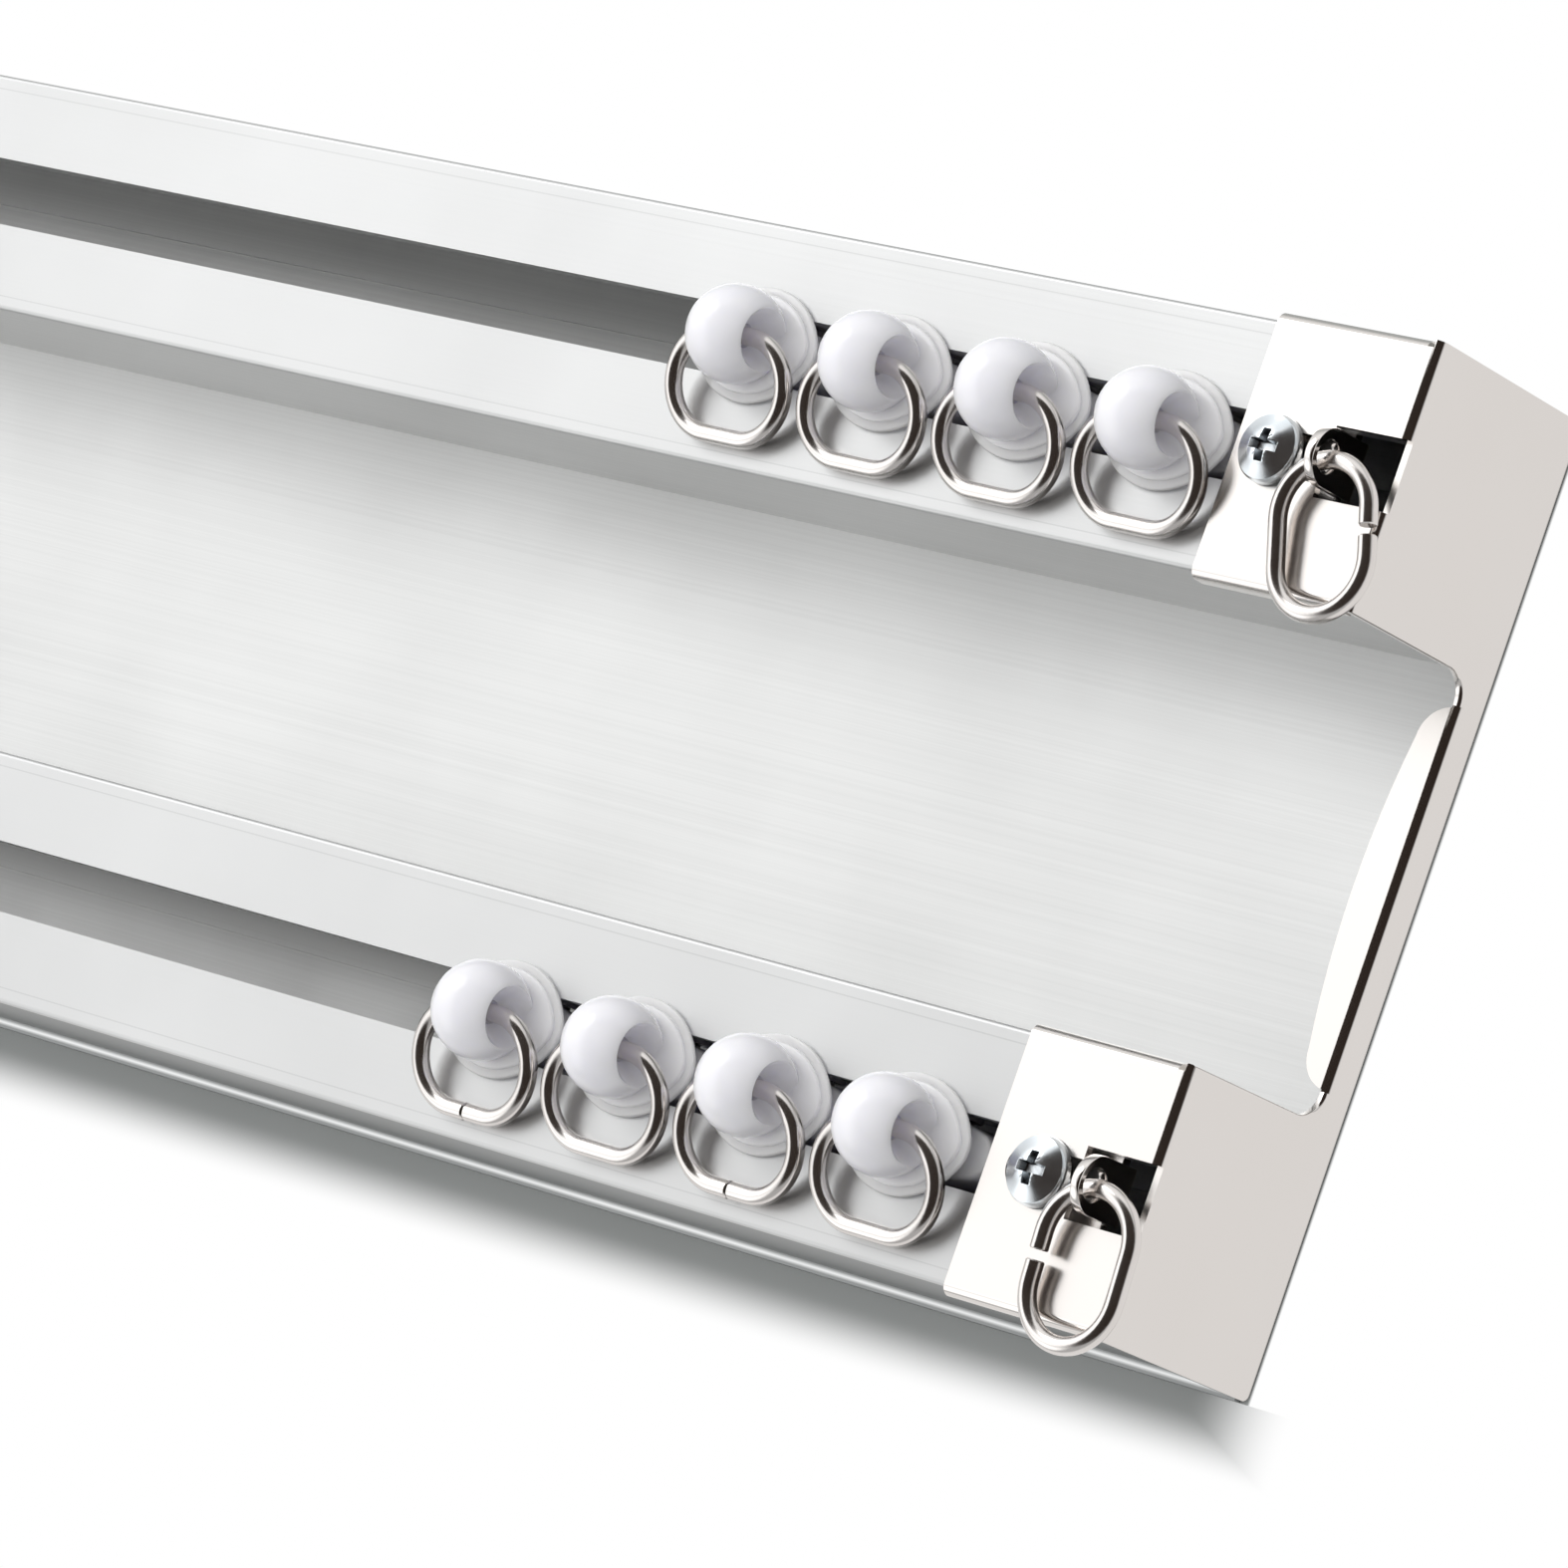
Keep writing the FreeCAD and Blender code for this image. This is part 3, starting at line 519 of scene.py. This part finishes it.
def oval_block(length, width, tip, bottom, height, edge):
    """Model a block whose plan is two long arcs and two round tips, with its rims rounded."""
    reach = length / 2 - tip
    large = (reach ** 2 + (width / 2) ** 2 - tip ** 2) / (width - 2 * tip)
    side = width / 2 - large
    swing = math.atan2(-side, reach)
    bpy.ops.object.select_all(action="DESELECT")
    bpy.ops.mesh.primitive_circle_add(vertices=96, radius=length / 2, fill_type="NGON")
    block = bpy.context.object
    for vertex in block.data.vertices:
        angle = math.atan2(vertex.co.y, vertex.co.x)
        quadrant = Vector((math.copysign(1, math.cos(angle)), math.copysign(1, math.sin(angle))))
        part = abs(math.asin(max(-1, min(1, math.sin(angle)))))
        if part < TIP_SHARE:
            aim = part / TIP_SHARE * swing
            x, y = reach + tip * math.cos(aim), tip * math.sin(aim)
        else:
            aim = swing + (part - TIP_SHARE) / (math.pi / 2 - TIP_SHARE) * (math.pi / 2 - swing)
            x, y = large * math.cos(aim), side + large * math.sin(aim)
        vertex.co = (quadrant.x * x, quadrant.y * y, bottom)
    open_mesh()
    bpy.ops.mesh.extrude_region_move(TRANSFORM_OT_translate={"value": (0, 0, height)})
    bpy.ops.object.mode_set(mode="OBJECT")
    face_outwards(block)
    round_edges(block, edge, segments=3, angle=50)
    return block


def ball_head():
    """Turn the ball with its dished mouths and bore about the X axis, and lift it to its height."""
    outside = arc_points((0, 0), BALL_RADIUS, MOUTH_TURN, 180 - MOUTH_TURN, 40)
    rim_x, rim_r = -outside[-1][0], outside[-1][1]
    dish = [(rim_x + 0.05 * MM, rim_r - 0.1 * MM)]
    for step in range(DISH_STEPS + 1):
        part = 1 - step / DISH_STEPS
        dish.append((HALF_WEB + (rim_x - HALF_WEB) * part,
                     BORE_RADIUS + (rim_r - 0.18 * MM - BORE_RADIUS) * part ** 0.75))
    left = [(-x, r) for x, r in dish]
    profile = outside + left + dish[::-1] + outside[:1]
    ball = lathe("head", profile, axis=(1, 0, 0), steps=64)
    ball.data.transform(Matrix.Translation((0, 0, BALL_RISE)))
    return ball


def nylon_runner():
    """Model one runner at the origin, with the track's face at Z = 0."""
    runner = ball_head()
    flange = (16.4, 12.5, 3.4, 0.1, 0.6, 0.22)
    step = (14.6, 10.7, 2.5, 0.55, 0.65, 0.22)
    neck = (13.0, 5.4, 1.6, -1.85, 2.1, 0.1)
    carriage = (18.2, 6.6, 2.4, -10.8, 9.0, 0.4)
    for block in (flange, step, neck, carriage):
        combine(runner, oval_block(*(size * MM for size in block)), "UNION")
    bpy.ops.object.select_all(action="DESELECT")
    bpy.ops.mesh.primitive_cylinder_add(vertices=32, radius=AXLE_BORE_RADIUS, depth=12 * MM,
                                        location=(0, 0, -AXLE_DEPTH), rotation=(math.pi / 2, 0, 0))
    combine(runner, bpy.context.object, "DIFFERENCE")
    select_only(runner)
    open_mesh()
    bpy.ops.mesh.remove_doubles(threshold=0.002 * MM)
    bpy.ops.object.mode_set(mode="OBJECT")
    bpy.ops.object.shade_smooth_by_angle(angle=math.radians(38))
    return runner


nylon, tree, shader = finish_material("Glossy translucent nylon", 0.0)
smudge = use_group(tree, handling, size=260.0)["Smudge"]
milky = blend_colours(tree, smudge, (0.82, 0.815, 0.86), (0.88, 0.875, 0.915))
coat_shader(tree, shader, milky, ramp(tree, smudge, 0, 1, 0.10, 0.20))
shader.inputs["Subsurface Weight"].default_value = 0.75
shader.inputs["Subsurface Radius"].default_value = (1.0, 1.0, 1.1)
shader.inputs["Subsurface Scale"].default_value = 3.2 * MM
bump(tree, shader, smudge, 0.06, 0.06 * MM)
first_runner = nylon_runner()
runner_x = {}
for row, slot_y in SLOT_Y.items():
    for number in (1, 2, 3, 4):
        name = "%s_%d" % (row, number)
        runner_x[name] = RUNNER_START[row] - (4 - number) * RUNNER_PITCH
        runner = placed_copy(first_runner, "ball_runner_" + name,
                             Matrix.Translation((runner_x[name], slot_y, TRACK_FACE)))
        hand_over(runner, "runner_" + name, name, nylon)
bpy.data.objects.remove(first_runner)


# The runners' rings are the same wire ovals, closed until their ends butt. In two of the front row the
# butt has come round to the free side.
RING_LEAN = 16.44
BUTT_GAP = 0.15 * MM
BUTT_SHOWS = ("front_1", "front_3")
closed_ring = bent_wire("closed_ring", BUTT_GAP)
for name, x in runner_x.items():
    slot_y = SLOT_Y[name.split("_")[0]]
    hung = Matrix.Translation((x, slot_y, TRACK_FACE + BALL_RISE)) @ turned(RING_LEAN, "X")
    if name not in BUTT_SHOWS:
        hung = hung @ Matrix.Translation((0, -2 * BEND_RADIUS, 0)) @ turned(180, "Z")
    ring = placed_copy(closed_ring, "closed_ring_" + name, hung)
    hand_over(ring, "runner_ring_" + name, name + "_ring", bright_wire)
bpy.data.objects.remove(closed_ring)


# Each runner rolls on a pair of moulded nylon wheels, pressed on a drawn steel axle through its carriage.
# The axle's ends are chamfered.
AXLE_EDGE = 0.15 * MM
WHEEL_EDGE = 0.1 * MM
axle_steel, tree, shader = finish_material("Drawn steel", 1.0)
lines = use_group(tree, die_lines, fineness=900.0, run=900.0)
steel = blend_colours(tree, lines["Broad"], (0.48, 0.49, 0.50), (0.62, 0.63, 0.64))
coat_shader(tree, shader, steel, ramp(tree, lines["Broad"], 0, 1, 0.22, 0.36))
for name in runner_x:
    body = name + "_wheels"
    axle = dressed_copy("runner_axle_" + name, "axle_pin_" + name, AXLE_EDGE)
    hand_over(axle, "runner_axle_" + name, body, axle_steel)
    for side in ("back", "fore"):
        node_name = "runner_wheel_%s_%s" % (name, side)
        wheel = dressed_copy(node_name, "roller_%s_%s" % (name, side), WHEEL_EDGE)
        hand_over(wheel, node_name, body, nylon)


# The floor is plain paper under the track, and isn't part of the object. Its own colour is dark grey, and in
# front of the track it keeps that colour over a band that fades to white by distance, so the shadow there is
# partly real and partly painted shadow. It is lifted to white past the track's ends, behind it, and past that
# band.
TRACK_END = 300 * MM
TRACK_SIDE = 51 * MM
bpy.ops.object.select_all(action="DESELECT")
bpy.ops.mesh.primitive_plane_add(size=12, location=(0, 0, -0.2 * MM))
floor = bpy.context.object
floor.name = "floor"
paper, tree, shader = finish_material("Pale floor", 0.0, specular=0.2)
place = object_place(tree)
grain = shader_node(tree, "ShaderNodeTexNoise", {"Vector": place, "Scale": 40.0}).outputs[0]
# The floor's own colour is dark grey, so where it isn't lifted it deepens the real shadow into painted
# shadow.
paper_and_painted_shadow = blend_colours(tree, grain, (0.37, 0.385, 0.38), (0.40, 0.415, 0.41))
tree.links.new(paper_and_painted_shadow, shader.inputs["Base Color"])
shader.inputs["Roughness"].default_value = 0.7
spot = split_axes(tree, place)
from_middle = reckon(tree, "ABSOLUTE", spot["X"])
sharp_end = ramp(tree, from_middle, TRACK_END, TRACK_END + 0.3 * MM)
# In front of the track the painted shadow fades out by distance around the corner past the end.
soft_end = ramp(tree, from_middle, TRACK_END - 7 * MM, TRACK_END + 6 * MM, shape="SMOOTHSTEP")
in_front = reckon(tree, "LESS_THAN", spot["Y"], -TRACK_SIDE)
past_end = shader_node(tree, "ShaderNodeMix", {0: in_front, 2: sharp_end, 3: soft_end}).outputs[0]
behind = ramp(tree, spot["Y"], TRACK_SIDE, TRACK_SIDE + 0.3 * MM)
# In front, the painted shadow fades to white by distance from the track, not by how the light falls.
before = ramp(tree, spot["Y"], -TRACK_SIDE - 1.8 * MM, -TRACK_SIDE - 8 * MM, shape="SMOOTHSTEP")
seen = shader_node(tree, "ShaderNodeLightPath").outputs
behind = reckon(tree, "MULTIPLY", behind, seen["Is Camera Ray"])
clear = reckon(tree, "MAXIMUM", reckon(tree, "MAXIMUM", past_end, behind), before)
mirrored = reckon(tree, "MAXIMUM", seen["Is Glossy Ray"], seen["Is Transmission Ray"])
lift = reckon(tree, "MULTIPLY", reckon(tree, "MAXIMUM", seen["Is Camera Ray"], mirrored), clear)
tone = blend_colours(tree, mirrored, (1.0, 1.0, 1.0), (0.87, 0.86, 0.855))
blank = shader_node(tree, "ShaderNodeEmission", {"Color": tone, "Strength": 1.0})
laid = shader_node(tree, "ShaderNodeMixShader", {0: lift, 1: shader.outputs[0], 2: blank.outputs[0]})
tree.links.new(laid.outputs[0], tree.nodes["Material Output"].inputs["Surface"])
floor.data.materials.append(paper)


# The studio's light: pale walls, brightest at the back and left, a lamp and a strip of light that the
# trays and the bead mirror, and for mirrors alone the dark room over the camera. The camera sees white.
def towards(tree, direction, aim, start, end):
    """Give a mask that rises as a direction turns towards an aim."""
    facing = shader_node(tree, "ShaderNodeVectorMath",
                         {0: direction, 1: tuple(Vector(aim).normalized())}, operation="DOT_PRODUCT")
    return ramp(tree, facing.outputs["Value"], start, end)


surround = bpy.data.worlds.new("Studio surround")
bpy.context.scene.world = surround
surround.use_nodes = True
tree = surround.node_tree
tree.nodes.clear()
direction = shader_node(tree, "ShaderNodeTexCoord").outputs["Generated"]
wall = towards(tree, direction, (-0.55, 0.60, 0.58), 0.0, 0.85)
lamp = towards(tree, direction, (-0.664, 0.10, 0.74), 0.84, 0.95)
strip = towards(tree, direction, (-0.664, -0.60, 0.434), 0.93, 0.98)
room = towards(tree, direction, (0.42, -0.05, 0.906), 0.53, 0.60)
above = ramp(tree, split_axes(tree, direction)["Z"], 0.02, 0.42, 0.35, 1.0)
walls = blend_colours(tree, reckon(tree, "MULTIPLY", wall, above), (0.48, 0.48, 0.48), (1.02, 1.02, 1.02))
lit = blend_colours(tree, reckon(tree, "MAXIMUM", lamp, strip), walls, (1.48, 1.48, 1.48))
seen = shader_node(tree, "ShaderNodeLightPath").outputs
filled = reckon(tree, "MULTIPLY_ADD", seen["Is Diffuse Ray"], 0.28, 1.0)
lit = shader_node(tree, "ShaderNodeVectorMath", {0: lit, "Scale": filled}, operation="SCALE").outputs[0]
dark = reckon(tree, "MULTIPLY", room, seen["Is Glossy Ray"])
tone = blend_colours(tree, dark, lit, (0.030, 0.022, 0.018))
backdrop = blend_colours(tree, seen["Is Camera Ray"], tone, (1, 1, 1))
glow = shader_node(tree, "ShaderNodeBackground", {"Color": backdrop, "Strength": 1.0})
shader_node(tree, "ShaderNodeOutputWorld", {"Surface": glow.outputs[0]})

softbox_data = bpy.data.lights.new("softbox", "AREA")
softbox_data.size = 0.5
softbox_data.energy = 2.0
softbox = bpy.data.objects.new("softbox", softbox_data)
bpy.context.scene.collection.objects.link(softbox)
softbox.location = (-0.50, 0.62, 0.90)
softbox.rotation_euler = (Vector((0.15, 0, 0)) - softbox.location).to_track_quat("-Z", "Y").to_euler()


# The camera stands where the photograph was taken from, over the right-hand end.
# Its lens and place were fitted to the photograph's edges.
camera_data = bpy.data.cameras.new("camera")
camera_data.sensor_width = 36.0
camera_data.lens = 196.55
camera = bpy.data.objects.new("camera", camera_data)
bpy.context.scene.collection.objects.link(camera)
across = Vector((0.72492, 0.32924, -0.60505))
upward = Vector((-0.18258, 0.9388, 0.2921))
backward = Vector((0.66419, -0.10127, 0.74067))
camera.matrix_world = Matrix.Translation((0.80799, -0.09329, 0.65969)) @ Matrix(
    (across, upward, backward)).transposed().to_4x4()
bpy.context.scene.camera = camera
bpy.context.scene.view_settings.view_transform = "Standard"
